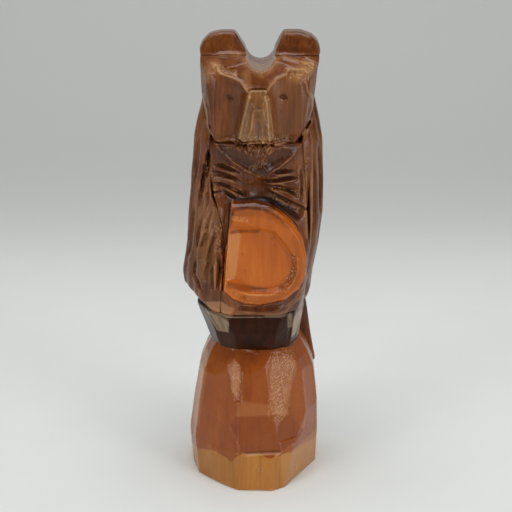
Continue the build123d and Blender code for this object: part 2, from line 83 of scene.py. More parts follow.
class Wood:
    """A block of wood as signed distances in millimetres on a grid, negative inside."""

    def __init__(self, cell, origin, distances):
        self.cell = cell
        self.origin = origin
        self.d = distances
        self.axes = [((origin[k] + np.arange(self.d.shape[k])) * cell).astype(np.float32) for k in range(3)]
        self.tone = np.zeros_like(self.d)
        self.rough = np.zeros_like(self.d)
        self.bare = np.zeros_like(self.d)

    def window(self, low=(-FAR,) * 3, high=(FAR,) * 3):
        """Slices and coordinates of the part of the grid between two corners."""
        spans = []
        for k in range(3):
            first = int(np.searchsorted(self.axes[k], low[k]))
            last = int(np.searchsorted(self.axes[k], high[k]))
            spans.append(slice(first, max(first, last)))
        x = self.axes[0][spans[0]][:, None, None]
        y = self.axes[1][spans[1]][None, :, None]
        z = self.axes[2][spans[2]][None, None, :]
        return tuple(spans), x, y, z

    def front(self, x, z):
        """How far forward the wood reaches at x and z."""
        i, k = (int(round(v / self.cell)) - o for v, o in ((x, self.origin[0]), (z, self.origin[2])))
        return float(self.axes[1][np.argmax(self.d[i, :, k] < 0)])

    def overhang(self, middle, across, half_width, height):
        """How far the block stands out past a line at its foot, at one height."""
        layer = self.d[:, :, int(round(height / self.cell - self.origin[2]))]
        x = self.axes[0][:, None] - middle[0]
        y = self.axes[1][None, :] - middle[1]
        beside = np.abs(x * across[1] - y * across[0]) < half_width
        return float((x * across[0] + y * across[1])[(layer < 0) & beside].max())

    def flat(self, point, normal, low=(-FAR,) * 3, high=(FAR,) * 3):
        """One knife flat: the wood on the normal's side of point falls away."""
        spans, x, y, z = self.window(low, high)
        n = unit(normal).astype(np.float32)
        cut = (x - point[0]) * n[0] + (y - point[1]) * n[1] + (z - point[2]) * n[2]
        self.d[spans] = np.maximum(self.d[spans], cut)

    def unstain(self, tops):
        """Leaves the wood bare below a line given as (degrees round from the front, height)."""
        _, x, y, z = self.window()
        turn = np.degrees(np.arctan2(x, -y))
        self.bare = np.broadcast_to(z < np.interp(turn, *zip(*tops)), self.d.shape)

    def ball(self, centre, radius):
        """A spherical scoop."""
        reach = radius + 1.0
        spans, x, y, z = self.window([c - reach for c in centre], [c + reach for c in centre])
        tool = radius - np.sqrt((x - centre[0]) ** 2 + (y - centre[1]) ** 2 + (z - centre[2]) ** 2)
        self.d[spans] = np.maximum(self.d[spans], tool)

    def flute(self, point, normal, radius, low=(-FAR,) * 3, high=(FAR,) * 3):
        """One long, slightly hollow cut that runs up the block through point."""
        spans, x, y, z = self.window(low, high)
        n = unit(normal)
        up = unit(np.array((0.0, 0.0, 1.0)) - n * n[2]).astype(np.float32)
        a = (np.asarray(point) + n * radius).astype(np.float32)
        along = (x - a[0]) * up[0] + (y - a[1]) * up[1] + (z - a[2]) * up[2]
        away = (x - a[0]) ** 2 + (y - a[1]) ** 2 + (z - a[2]) ** 2 - along ** 2
        self.d[spans] = np.maximum(self.d[spans], radius - np.sqrt(np.maximum(away, 0)))

    def brush(self, points, width, limit, taper, curve):
        """Cells behind a line drawn from the front as (x, z), and how strongly it touches them.

        Only wood in front of y = limit is touched.
        """
        points = np.asarray(points, dtype=np.float32)
        left, bottom = points.min(axis=0) - width
        right, top = points.max(axis=0) + width
        spans, x, _, z = self.window((left, -FAR, bottom), (right, limit, top))
        best = 0
        lengths = np.linalg.norm(np.diff(points, axis=0), axis=1)
        done = 0.0
        for a, b, length in zip(points, points[1:], lengths):
            n = (b - a) / length
            along = np.clip((x - a[0]) * n[0] + (z - a[1]) * n[1], 0, length)
            away = np.sqrt((x - a[0] - along * n[0]) ** 2 + (z - a[1] - along * n[1]) ** 2)
            share = (done + along) / lengths.sum()
            fade = np.sqrt(np.clip(np.minimum(share, 1 - share) / taper, 0, 1)) if taper else 1.0
            amount = np.clip(1 - away / (width * (0.35 + 0.65 * fade)), 0, 1) ** curve * fade
            best = np.maximum(best, amount)
            done += length
        return spans, best

    def stroke(self, points, width, depth, limit=0.0, taper=0.25, curve=1.0):
        """V or U cut along points, fading over width; a negative depth leaves a ridge instead."""
        spans, amount = self.brush(points, width, limit, taper, curve)
        self.d[spans] += (depth * amount).astype(np.float32)

    def paint(self, points, width, value, limit=0.0):
        """Paler colour for a positive value and darker colour for a negative one, over a soft-edged band:
        stain, painted highlight and painted shade.
        """
        spans, amount = self.brush(points, width, limit, 0.0, 0.7)
        self.tone[spans] += (value * amount).astype(np.float32)

    def scuff_and_glint(self, points, width, limit=0.0):
        """Torn grain over a soft-edged band, whose pale torn lines also paint the glitter of highlights."""
        spans, amount = self.brush(points, width, limit, 0.0, 0.6)
        self.rough[spans] = np.maximum(self.rough[spans], amount)

    def unevenness(self, size, seed):
        """Smooth random field between -1 and 1 with lumps about size millimetres across."""
        rng = np.random.RandomState(seed)
        shape = self.d.shape
        cells = [max(2, int(shape[k] * self.cell / size)) for k in range(3)]
        coarse = rng.uniform(-1, 1, [c + 2 for c in cells]).astype(np.float32)
        for k in range(3):
            place = np.linspace(0, cells[k] - 1e-4, shape[k])
            low = place.astype(int)
            share = (place - low).astype(np.float32)
            share = share * share * (3 - 2 * share)
            lengthwise = [1, 1, 1]
            lengthwise[k] = -1
            share = share.reshape(lengthwise)
            coarse = np.take(coarse, low, axis=k) * (1 - share) + np.take(coarse, low + 1, axis=k) * share
        return coarse

    def ripple(self, amount, size, seed):
        """Slow unevenness left by the knife."""
        self.d += amount * self.unevenness(size, seed)

    def tear(self, amount, size, seed):
        """Broken wood wherever the surface has been scuffed."""
        self.d += amount * self.rough * (0.5 + 0.5 * self.unevenness(size, seed))

    def patch(self, corners, value, depth=0.0, limit=0.0):
        """A facet seen from the front as (x, z) corners: sunk, with a crisp edge, and evenly paler for a
        positive value and darker for a negative one, which paints the highlight of a lit facet and the shade
        of a shaded one.
        """
        x = self.axes[0][:, None]
        z = self.axes[2][None, :]
        inside = np.zeros((len(self.axes[0]), len(self.axes[2])), dtype=bool)
        edge = np.full(inside.shape, FAR, dtype=np.float32)
        for (x0, z0), (x1, z1) in zip(corners, corners[1:] + corners[:1]):
            square = (x1 - x0) ** 2 + (z1 - z0) ** 2
            along = np.clip(((x - x0) * (x1 - x0) + (z - z0) * (z1 - z0)) / square, 0, 1)
            edge = np.minimum(edge, np.hypot(x - x0 - along * (x1 - x0), z - z0 - along * (z1 - z0)))
            if z0 != z1:
                inside ^= ((z0 > z) != (z1 > z)) & (x < x0 + (z - z0) * (x1 - x0) / (z1 - z0))
        share = np.clip(0.5 + np.where(inside, edge, -edge) / FACET_EDGE, 0, 1)[:, None, :]
        share = share * (self.axes[1] < limit)[None, :, None]
        self.d += depth * share
        self.tone += value * share

    def close_gaps(self, reach, keep):
        """Fills the deep, narrow gaps left between neighbouring blocks."""
        soft = box_blur(np.clip(self.d, -DEEP, DEEP), max(1, int(round(reach / self.cell))))
        self.d = np.minimum(self.d, soft + keep)

    def soften(self, millimetres, share):
        """Rounds edges and part-fills grooves."""
        soft = box_blur(np.clip(self.d, -DEEP, DEEP), max(1, int(round(millimetres / self.cell))))
        self.d = np.where(np.abs(self.d) < SKIN, self.d * (1 - share) + soft * share, self.d)

    def find_edges(self, edge_size=0.45, hollow_size=1.9):
        """Finds where the finished surface has sharp edges and where it is hollow."""
        near = np.clip(self.d, -SKIN, SKIN)
        self.edges = box_blur(near, max(1, int(round(edge_size / self.cell))))
        self.hollows = box_blur(near, max(1, int(round(hollow_size / self.cell))))

    def crop(self, spans):
        """The same block seen through a smaller window."""
        small = Wood(self.cell, self.origin + [span.start for span in spans], self.d[spans])
        for name in ("tone", "rough", "bare", "edges", "hollows"):
            setattr(small, name, getattr(self, name)[spans])
        return small

    def piece(self, name, node, slot, material):
        """Turns the block into a mesh that stands for a CAD node."""
        grid = vdb.FloatGrid(float(self.d.max()))
        grid.transform = vdb.createLinearTransform(voxelSize=self.cell)
        grid.copyFromArray(np.ascontiguousarray(self.d), ijk=tuple(int(v) for v in self.origin))
        points, quads = grid.convertToQuads()
        quads = quads[:, ::-1].astype(np.int32)
        mesh = bpy.data.meshes.new(name)
        mesh.vertices.add(len(points))
        mesh.vertices.foreach_set("co", (points * MM).astype(np.float32).ravel())
        mesh.loops.add(quads.size)
        mesh.loops.foreach_set("vertex_index", quads.ravel())
        mesh.polygons.add(len(quads))
        mesh.polygons.foreach_set("loop_start", np.arange(0, quads.size, 4, dtype=np.int32))
        mesh.update(calc_edges=True)
        mesh.polygons.foreach_set("use_smooth", np.ones(len(quads), dtype=bool))
        place = points.astype(np.float64) / self.cell - self.origin
        fields = {
            "wear": self.edges,
            "deep": self.hollows,
            "tone": self.tone,
            "rough": self.rough,
            "bare": self.bare,
        }
        for field, values in fields.items():
            column = mesh.attributes.new(field, "FLOAT", "POINT")
            column.data.foreach_set("value", interpolate(values, place).astype(np.float32))
        mesh.materials.append(material)
        made = bpy.data.objects.new(name, mesh)
        bpy.context.scene.collection.objects.link(made)
        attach(made, "root")
        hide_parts(node)


def node_block(node, cell):
    """The block that a CAD node fills."""
    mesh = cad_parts[node].data
    mesh.calc_loop_triangles()
    points = np.empty(len(mesh.vertices) * 3, dtype=np.float32)
    mesh.vertices.foreach_get("co", points)
    points = points.reshape(-1, 3) / MM
    corners = np.empty(len(mesh.loop_triangles) * 3, dtype=np.int32)
    mesh.loop_triangles.foreach_get("vertices", corners)
    grid = vdb.FloatGrid.createLevelSetFromPolygons(
        points, triangles=corners.reshape(-1, 3).astype(np.uint32),
        transform=vdb.createLinearTransform(voxelSize=cell), halfWidth=BAND / cell)
    low = np.floor((points.min(axis=0) - MARGIN) / cell).astype(int)
    high = np.ceil((points.max(axis=0) + MARGIN) / cell).astype(int)
    distances = np.full(tuple(high - low + 1), BAND, dtype=np.float32)
    grid.copyToArray(distances, ijk=tuple(int(v) for v in low))
    return Wood(cell, low, distances)


class Glued:
    """Several blocks glued up, carved as one, then parted again along their joints."""

    def __init__(self, nodes, cell):
        self.blocks = {node: node_block(node, cell) for node in nodes}
        blocks = self.blocks.values()
        self.low = np.min([block.origin for block in blocks], axis=0)
        high = np.max([block.origin + block.d.shape for block in blocks], axis=0)
        self.nearest = np.full(tuple(high - self.low), BAND, dtype=np.float32)
        self.second = self.nearest.copy()
        for block in blocks:
            spans = self.spans(block)
            self.second[spans] = np.minimum(self.second[spans], np.maximum(self.nearest[spans], block.d))
            self.nearest[spans] = np.minimum(self.nearest[spans], block.d)
        self.whole = Wood(cell, self.low, self.nearest.copy())

    def spans(self, block):
        """Where one block lies in the grid of the whole."""
        start = block.origin - self.low
        return tuple(slice(a, a + n) for a, n in zip(start, block.d.shape))

    def part(self, node):
        """What the carving has left of one block."""
        block = self.blocks[node]
        spans = self.spans(block)
        others = np.where(block.d <= self.nearest[spans], self.second[spans], self.nearest[spans])
        part = self.whole.crop(spans)
        part.d = np.maximum(part.d, (block.d - others) / 2)
        return part


# ------------------------------------------------------------------ materials
class Nodes:
    """Short names for building a node material."""

    def __init__(self, name):
        self.material = bpy.data.materials.new(name)
        self.material.use_nodes = True
        self.tree = self.material.node_tree
        self.tree.nodes.clear()
        self.out = self.tree.nodes.new("ShaderNodeOutputMaterial")
        self.shader = self.tree.nodes.new("ShaderNodeBsdfPrincipled")
        self.tree.links.new(self.shader.outputs[0], self.out.inputs[0])

    def put(self, socket, value):
        if hasattr(value, "is_output"):
            self.tree.links.new(value, socket)
        else:
            socket.default_value = value

    def coords(self, scale=(1, 1, 1)):
        place = self.tree.nodes.new("ShaderNodeTexCoord")
        mapping = self.tree.nodes.new("ShaderNodeMapping")
        mapping.inputs["Scale"].default_value = scale
        self.tree.links.new(place.outputs["Object"], mapping.inputs["Vector"])
        return mapping.outputs[0]

    def noise(self, vector, scale, detail=2.0, roughness=0.5, distortion=0.0):
        node = self.tree.nodes.new("ShaderNodeTexNoise")
        self.put(node.inputs["Vector"], vector)
        node.inputs["Scale"].default_value = scale
        node.inputs["Detail"].default_value = detail
        node.inputs["Roughness"].default_value = roughness
        node.inputs["Distortion"].default_value = distortion
        return node.outputs["Fac"]

    def math(self, operation, a, b=0.0, clamp=False):
        node = self.tree.nodes.new("ShaderNodeMath")
        node.operation = operation
        node.use_clamp = clamp
        self.put(node.inputs[0], a)
        self.put(node.inputs[1], b)
        return node.outputs[0]

    def span(self, value, low, high, to_low=0.0, to_high=1.0):
        node = self.tree.nodes.new("ShaderNodeMapRange")
        node.interpolation_type = "SMOOTHSTEP"
        self.put(node.inputs["Value"], value)
        limits = {"From Min": low, "From Max": high, "To Min": to_low, "To Max": to_high}
        for socket, amount in limits.items():
            node.inputs[socket].default_value = amount
        return node.outputs["Result"]

    def mix(self, share, a, b):
        node = self.tree.nodes.new("ShaderNodeMix")
        node.data_type = "RGBA"
        self.put(node.inputs[0], share)
        self.put(node.inputs[6], a)
        self.put(node.inputs[7], b)
        return node.outputs[2]

    def field(self, name):
        node = self.tree.nodes.new("ShaderNodeAttribute")
        node.attribute_name = name
        return node.outputs["Fac"]

    def bump(self, height, strength, distance):
        node = self.tree.nodes.new("ShaderNodeBump")
        node.inputs["Strength"].default_value = strength
        node.inputs["Distance"].default_value = distance
        self.put(node.inputs["Height"], height)
        return node.outputs[0]


VARNISH_IOR = 1.48
VARNISH_BUMP = 0.35  # strength of the relief in the varnish
VARNISH_DEPTH = 0.0006  # and its depth, metres


def rgb(red, green, blue):
    """Display colour from 0 to 255, as the linear colour that Blender mixes."""
    linear = [((c / 255 + 0.055) / 1.055) ** 2.4 if c > 10 else c / 255 / 12.92 for c in (red, green, blue)]
    return (*linear, 1.0)


def varnished(name, dark, middle, light, wear_and_highlight, shadow, gloss=0.22, grain=1.0, shine=0.5, pool=0.6,
              bare=None):
    """Carved wood: long grain, patchy stain, edges rubbed pale, stain pooled in hollows, thick varnish, and
    painted highlights, painted glitter and painted shade.

    gloss is the varnish's roughness, grain and pool the strength of the grain and of the pooled
    stain, shine its specular level, and bare the two colours of wood left unstained.
    """
    n = Nodes(name)
    long_grain = n.noise(n.coords((1, 1, 0.055)), 900, 4.0, 0.62, 0.4)
    fine_grain = n.noise(n.coords((1, 1, 0.03)), 3200, 3.0, 0.7)
    patches = n.noise(n.coords((1, 1, 0.5)), 95, 3.0, 0.55, 0.6)
    streaks = n.noise(n.coords((1, 1, 0.12)), 300, 3.0, 0.6, 0.3)
    tone = n.math("ADD", n.math("MULTIPLY", n.span(long_grain, 0.3, 0.7), 0.40 * grain),
                  n.math("MULTIPLY", n.span(streaks, 0.3, 0.7), 0.34))
    tone = n.math("ADD", tone, n.math("MULTIPLY", n.span(patches, 0.32, 0.68), 0.36), clamp=True)
    colour = n.mix(n.span(tone, 0.0, 0.55), dark, middle)
    colour = n.mix(n.span(tone, 0.5, 1.0), colour, light)
    pores = n.span(fine_grain, 0.60, 0.74)
    colour = n.mix(n.math("MULTIPLY", pores, 0.30 * grain), colour, shadow)
    if bare is not None:
        bare_tone = n.math("ADD", n.math("MULTIPLY", n.span(long_grain, 0.3, 0.7), 0.5),
                           n.math("MULTIPLY", n.span(patches, 0.3, 0.7), 0.5))
        share = n.span(n.field("bare"), 0.35, 0.65)
        colour = n.mix(share, colour, n.mix(bare_tone, bare[0], bare[1]))
    # the tone field paints highlights toward the pale colour and shade toward the shadow colour, besides
    # paler and darker stain
    painted = n.field("tone")
    colour = n.mix(n.math("MAXIMUM", painted, 0.0, clamp=True), colour, wear_and_highlight)
    colour = n.mix(n.math("MULTIPLY", painted, -1.0, clamp=True), colour, shadow)
    ragged = n.noise(n.coords(), 1300, 3.0, 0.6)
    ragged = n.math("MULTIPLY", n.math("SUBTRACT", ragged, 0.5), 0.12)
    wear = n.math("ADD", n.field("wear"), ragged)
    edge = n.math("MULTIPLY", n.span(wear, 0.05, 0.15), n.span(patches, 0.38, 0.62, 0.15, 1.0))
    pooled = n.math("MAXIMUM", n.span(wear, -0.04, -0.20), n.span(n.field("deep"), -0.12, -0.75))
    colour = n.mix(n.math("MULTIPLY", pooled, pool), colour, shadow)
    colour = n.mix(n.math("MULTIPLY", edge, 0.50), colour, wear_and_highlight)
    rough = n.field("rough")
    torn = n.noise(n.coords((1, 1, 0.8)), 700, 2.0, 0.5, 1.2)
    # pale torn lines where the rough field is set: torn grain, and painted glitter of highlights on the
    # varnish
    glitter_and_torn_lines = n.span(n.math("ABSOLUTE", n.math("SUBTRACT", torn, 0.5)), 0.035, 0.008)
    glitter_and_torn_lines = n.math("MULTIPLY", glitter_and_torn_lines, n.span(rough, 0.15, 0.6))
    colour = n.mix(n.math("MULTIPLY", glitter_and_torn_lines, 0.75), colour, wear_and_highlight)
    n.put(n.shader.inputs["Base Color"], colour)
    n.put(n.shader.inputs["Roughness"], n.span(patches, 0.3, 0.7, gloss - 0.05, gloss + 0.06))
    n.shader.inputs["IOR"].default_value = VARNISH_IOR
    n.shader.inputs["Specular IOR Level"].default_value = shine
    orange_peel = n.noise(n.coords(), 1500, 2.0, 0.6)
    lumps = n.noise(n.coords((1, 1, 0.6)), 330, 2.0, 0.5)
    height = n.math("ADD", n.math("MULTIPLY", orange_peel, 0.42), n.math("MULTIPLY", lumps, 0.7))
    height = n.math("ADD", height, n.math("MULTIPLY", long_grain, 0.25 * grain))
    height = n.math("ADD", height, n.math("MULTIPLY", n.math("MULTIPLY", torn, rough), 1.6))
    n.put(n.shader.inputs["Normal"], n.bump(height, VARNISH_BUMP, VARNISH_DEPTH))
    return n.material


dark_wood = varnished("dark_wood", rgb(70, 31, 10), rgb(102, 52, 20), rgb(132, 76, 36), rgb(190, 134, 84),
                      rgb(30, 11, 4), shine=0.35)
black_wood = varnished("black_wood", rgb(38, 14, 3), rgb(54, 22, 5), rgb(76, 36, 12), rgb(182, 154, 124),
                       rgb(14, 6, 2), grain=0.5, shine=0.12)
red_wood = varnished("red_wood", rgb(84, 39, 10), rgb(112, 57, 18), rgb(136, 78, 30), rgb(192, 142, 90),
                     rgb(36, 15, 5), shine=0.35)
amber_wood = varnished("amber_wood", rgb(140, 64, 12), rgb(156, 77, 15), rgb(168, 90, 24), rgb(206, 152, 100),
                       rgb(86, 34, 8), grain=0.45, shine=0.42, bare=(rgb(166, 102, 36), rgb(190, 126, 54)))
orange_wood = varnished("orange_wood", rgb(178, 87, 14), rgb(196, 99, 18), rgb(206, 111, 28),
                        rgb(222, 158, 92),
                        rgb(94, 42, 12), grain=0.4, shine=0.42, pool=0.75)
pale_wood = varnished("pale_wood", rgb(102, 60, 27), rgb(130, 83, 42), rgb(156, 108, 60), rgb(204, 160, 110),
                      rgb(50, 25, 11))
dowel_wood = varnished("dowel_wood", rgb(170, 132, 88), rgb(190, 152, 106), rgb(206, 172, 126),
                       rgb(216, 186, 144), rgb(120, 88, 56), gloss=0.5)

# -------------------------------------------------------------------- carving
# stump: corners of its resting face, seen from above, and the height where the facets of the bare
# band meet the stained wood; the stain's lower edge is given as (degrees round from the front, z)
band_top = 16.0
band_corners = [
    (-7.2, -26.0), (6.6, -26.6), (11.4, -23.4), (24.8, 1.6), (25.2, 13.0),
    (13.0, 24.0), (-13.0, 24.0), (-25.6, 15.0), (-26.2, 1.0), (-23.4, -10.2),
    (-13.8, -20.8),
]
bare_tops = [
    (-180, 13.0), (-150, 15.5), (-120, 12.0), (-86, 9.2), (-60, 12.0), (-42, 14.3), (-29, 13.2), (-22, 11.6),
    (-17, 14.8), (-12, 16.4), (0, 16.6), (6, 15.6), (10, 14.0), (17, 14.6), (26, 15.0), (37, 14.6),
    (52, 14.0),
    (62, 13.4), (82, 11.6), (112, 14.0), (145, 16.5), (180, 13.0),
]
stump = node_block("stump", STUMP_CELL)
# its sides and shoulders
stump.flute((-13.6, -19.4, 38.0), (-0.60, -0.78, 0.13), 70)
stump.flute((0.0, -23.0, 38.0), (-0.02, -0.98, 0.17), 160)
stump.flute((-7.9, stump.front(-8, 45) + 0.16, 45.0), (-0.26, -0.94, 0.17), 9,
            low=(-13, -40, 37), high=(-4, 0, 60))
stump.flat((6.2, stump.front(6.2, 44) + 0.1, 44.0), (0.41, -0.89, 0.20),
           low=(0, -40, 24), high=(30, 0, 60))
stump.flat((13.9, stump.front(13.9, 41), 41.0), (0.60, -0.78, 0.11), low=(0, -40, 20), high=(30, 0, 60))
stump.flute((20.6, -10.6, 38.0), (0.90, -0.42, 0.12), 60)
stump.flute((-23.6, -4.0, 38.0), (-0.97, -0.20, 0.10), 60)
stump.flute((4.6, -24.5, 22.5), (0.12, -0.98, 0.03), 120, low=(-12, -40, band_top), high=(21, 0, 33))
stump.flat((-12.4, -17.4, 54.0), (-0.50, -0.62, 0.60))
stump.flat((2.0, -18.6, 55.4), (0.05, -0.80, 0.60))
stump.flat((15.4, -13.6, 54.5), (0.60, -0.52, 0.60))
stump.ripple(0.12, 9.0, 3)
for (x0, y0), (x1, y1) in zip(band_corners, band_corners[1:] + band_corners[:1]):
    middle = ((x0 + x1) / 2, (y0 + y1) / 2)
    across = unit((y1 - y0, x0 - x1, 0))
    lean = stump.overhang(middle, across, math.hypot(x1 - x0, y1 - y0) / 2, band_top) / band_top
    stump.flat((middle[0], middle[1], 0.0), (across[0], across[1], -lean), high=(FAR, FAR, band_top))
stump.unstain(bare_tops)
# two painted glints high up, on torn grain; the dark shield at the front in painted shade; then facets
# painted paler and darker as light falls on them
stump.scuff_and_glint([(-8.2, 50.0), (-7.9, 41.0)], 2.6)
stump.scuff_and_glint([(11.0, 53.0), (9.0, 33.0)], 5.4)
stump.patch([(-8.8, 53.0), (-6.5, 50.9), (-6.1, 47.1), (-6.9, 42.8), (-8.1, 38.5), (-9.7, 42.8),
             (-9.6, 47.9)],
            0.42, 0.10)
stump.patch([(6.1, 55.6), (9.2, 55.6), (13.1, 53.0), (16.3, 50.1), (15.9, 45.8), (14.0, 41.1), (12.5, 34.2),
             (11.3, 29.9), (8.1, 30.8), (6.1, 37.7), (4.9, 47.1)], 0.20, 0.10)
# painted shade across the top of the stump, where the foot block meets it
stump.paint([(-9.0, 56.5), (12.0, 56.5)], 5.0, -0.22)
stump.patch([(-8.1, 31.3), (7.3, 31.3), (14.0, 29.6), (17.2, 25.2), (18.9, 20.9), (14.1, 17.4), (5.4, 14.3),
             (-5.8, 16.5), (-6.6, 19.6), (-10.5, 26.1)], -0.22, 0.30)
stump.patch([(-8.4, 31.6), (7.3, 31.6), (14.0, 30.0), (11.2, 32.0), (8.0, 35.0), (-6.0, 38.0)], 0.16)
stump.patch([(9.8, 14.6), (13.0, 15.4), (26.0, 15.4), (26.0, -1.0), (11.2, -1.0)], 0.30)
stump.patch([(-26.0, 15.0), (-10.5, 13.4), (-8.8, 12.6), (-7.4, -1.0), (-26.0, -1.0)], -0.06)
stump.patch([(-22.0, 30.0), (-11.0, 26.0), (-7.0, 19.6), (-6.0, 16.8), (-22.0, 16.0)], -0.08, 0.12)
# painted reflection down the narrow left facet
stump.paint([(-20.8, 50.0), (-23.2, 36.0), (-25.0, 22.0)], 2.0, 0.40)
stump.stroke([(-13.6, 56.1), (-5.3, 57.2), (-0.6, 56.5), (2.2, 55.4)], 0.8, -0.3, limit=-8)
stump.ball((1.9, -26.0, 9.4), 0.6)
stump.paint([(1.8, 16.5), (1.8, 8.0)], 0.5, -0.3)
stump.find_edges()
stump.piece("carved_stump", "stump", "amber_stain", amber_wood)

# everything above the stump
glued = Glued(("foot_block", "body", "belly_disc", "wing_right", "wing_left", "tail", "head", "beak",
               "ear_left", "ear_right"), CELL)
wood = glued.whole
blurred_share = np.zeros_like(wood.d)
for node, share in (("body", 0.75), ("wing_right", 0.85), ("wing_left", 0.8), ("tail", 0.6),
                    ("ear_left", 0.7), ("ear_right", 0.7), ("head", 0.25), ("foot_block", 0.3)):
    block = glued.blocks[node]
    spans = glued.spans(block)
    blurred_share[spans][block.d <= glued.nearest[spans] + 1e-6] = share
wood.close_gaps(2.0, 0.55)
wood.soften(0.9, box_blur(blurred_share, 2))
wood.ripple(0.16, 6.0, 7)

# foot block: set back under a ledge, with a ridge at each side; painted reflections on grey facets at its
# sides and above its right side, streaked darker, and painted highlights along the ledge and the right ridge
wood.flat((0.0, -22.3, 72.6), (0.0, -1.0, 0.05), low=(-30, -40, 0), high=(30, 0, 72.7))
wood.stroke([(13.0, 72.5), (13.4, 66.0), (13.0, 60.5)], 0.9, 0.5, limit=-4)
wood.paint([(13.2, 72.5), (13.4, 67.0)], 1.2, 0.6)
wood.paint([(-18.5, 74.0), (-10.5, 73.8)], 2.0, 0.45)
wood.patch([(-20.1, 73.2), (-11.1, 71.6), (-10.8, 65.3), (-15.1, 64.9)], 0.62, 0.15)
for line in ([(-18.0, 72.0), (-14.6, 66.0)], [(-14.2, 71.4), (-12.6, 66.4)]):
    wood.paint(line, 0.9, -0.28)
wood.patch([(18.6, 73.5), (14.8, 70.5), (14.1, 60.8), (16.0, 60.8), (18.3, 68.4)], 0.70, 0.15)
wood.patch([(16.8, 83.8), (14.9, 79.7), (11.0, 77.7), (11.8, 75.6), (17.2, 78.9), (19.1, 83.4)], 0.25, 0.12)
wood.stroke([(14.4, 73.0), (15.0, 61.0)], 0.7, -0.4, limit=-2)
wood.paint([(4.0, 73.6), (11.0, 73.6)], 1.2, 0.35)
wood.stroke([(-19.6, 73.4), (-11.0, 71.8), (-10.5, 65.0)], 0.8, -0.4, limit=-8)

# chest: two dark pools under the chin, carved and filled with painted shade, feather cuts with painted shade
# in them, light ridges and scribbles
for line in ([(-12.6, 136.4), (-7.5, 134.8), (-1.0, 131.4)], [(13.8, 136.4), (9.0, 134.8), (3.5, 131.4)]):
    wood.stroke(line, 3.8, 1.8, limit=-8, curve=0.7)
    wood.paint(line, 3.8, -0.50)
for line in ([(-15.2, 131.7), (-12.2, 131.0), (-8.9, 129.8), (-5.8, 129.0)],
             [(-16.8, 129.4), (-12.3, 127.9), (-8.5, 126.7), (-4.7, 124.8)],
             [(-16.4, 124.8), (-12.3, 124.0), (-7.0, 121.6), (-3.2, 120.1)],
             [(-16.9, 120.8), (-12.3, 121.6), (-7.8, 119.3)],
             [(6.6, 129.4), (11.1, 129.4), (15.3, 129.4)],
             [(2.8, 125.9), (7.4, 125.9), (11.9, 126.7), (15.7, 126.7)],
             [(4.4, 124.0), (8.9, 123.6), (12.7, 122.0), (16.1, 119.7)],
             [(3.6, 122.4), (8.2, 120.1), (13.5, 117.3), (20.0, 113.8)],
             [(2.1, 116.9), (5.9, 115.3), (10.1, 112.2)]):
    wood.stroke(line, 1.2, 1.2, limit=-6)
    wood.paint(line, 0.8, -0.35)
for line in ([(-16.3, 140.8), (-12.9, 137.4), (-9.2, 133.5), (-4.3, 130.4), (2.1, 127.3)],
             [(15.5, 137.8), (12.9, 134.7), (8.8, 131.2), (5.1, 128.9), (2.8, 127.0)],
             [(7.0, 119.4), (10.8, 117.5), (16.5, 114.7)]):
    wood.stroke(line, 0.8, -0.6, limit=-8)
    wood.paint(line, 0.5, 0.40)
for line in ([(16.9, 130.8), (17.3, 125.3), (17.4, 117.4)], [(-16.9, 127.0), (-16.5, 119.5), (-14.5, 114.5)]):
    wood.stroke(line, 0.8, 0.7, limit=-4)
wood.scuff_and_glint([(-5.0, 139.5), (5.5, 139.5)], 2.6)
wood.scuff_and_glint([(-2.0, 131.0), (3.6, 133.4)], 1.5)
wood.scuff_and_glint([(-16.4, 127.6), (-12.0, 127.0)], 1.0)
wood.scuff_and_glint([(-16.4, 123.2), (-12.4, 122.4)], 1.0)
wood.scuff_and_glint([(-9.0, 122.6), (-5.0, 121.6)], 1.0)
wood.scuff_and_glint([(7.0, 122.9), (12.0, 122.4), (15.6, 121.6)], 0.8)
wood.scuff_and_glint([(7.0, 119.4), (10.8, 117.5), (16.5, 114.7)], 0.9)
wood.paint([(-13.0, 127.0), (0.0, 130.0), (13.0, 125.0)], 9.0, -0.26)
# painted shade under the chin
wood.paint([(-16.0, 139.6), (0.0, 138.6), (15.0, 139.8)], 3.4, -0.38)
wood.stroke([(-16.0, 141.0), (-10.0, 141.6), (-4.0, 140.6), (2.0, 141.4), (8.0, 140.5),
             (15.0, 141.2)], 1.1, -0.9,
            limit=-8)
for line in ([(-7.0, 140.6), (-5.2, 137.6), (-4.0, 140.2), (-2.6, 136.8), (-1.0, 140.0)],
             [(-0.6, 138.4), (1.0, 135.6), (2.4, 139.0), (4.0, 136.4), (6.4, 139.6)]):
    wood.stroke(line, 0.7, 0.7, limit=-8)
    wood.paint(line, 0.6, 0.45)
# painted shadow where the chest falls back above the disc
wood.paint([(-4.0, 118.6), (8.0, 118.4)], 4.0, -0.30)
wood.patch([(-19.5, 78.1), (-13.3, 79.7), (-7.9, 76.8), (-9.5, 74.8), (-13.4, 73.9),
            (-18.8, 75.6)], 0.55, 0.25)
wood.paint([(-7.0, 74.6), (12.0, 74.6)], 1.0, 0.25)
for line in ([(-7.9, 75.9), (-2.5, 75.4), (3.7, 75.4), (9.0, 76.3)], [(9.8, 75.0), (13.7, 77.1),
                                                                      (17.9, 80.4)]):
    wood.stroke(line, 0.7, -0.4, limit=-8)
wood.stroke([(-9.5, 77.4), (-2.5, 77.0), (9.0, 77.8), (13.0, 79.6)], 1.3, 0.8, limit=-8)

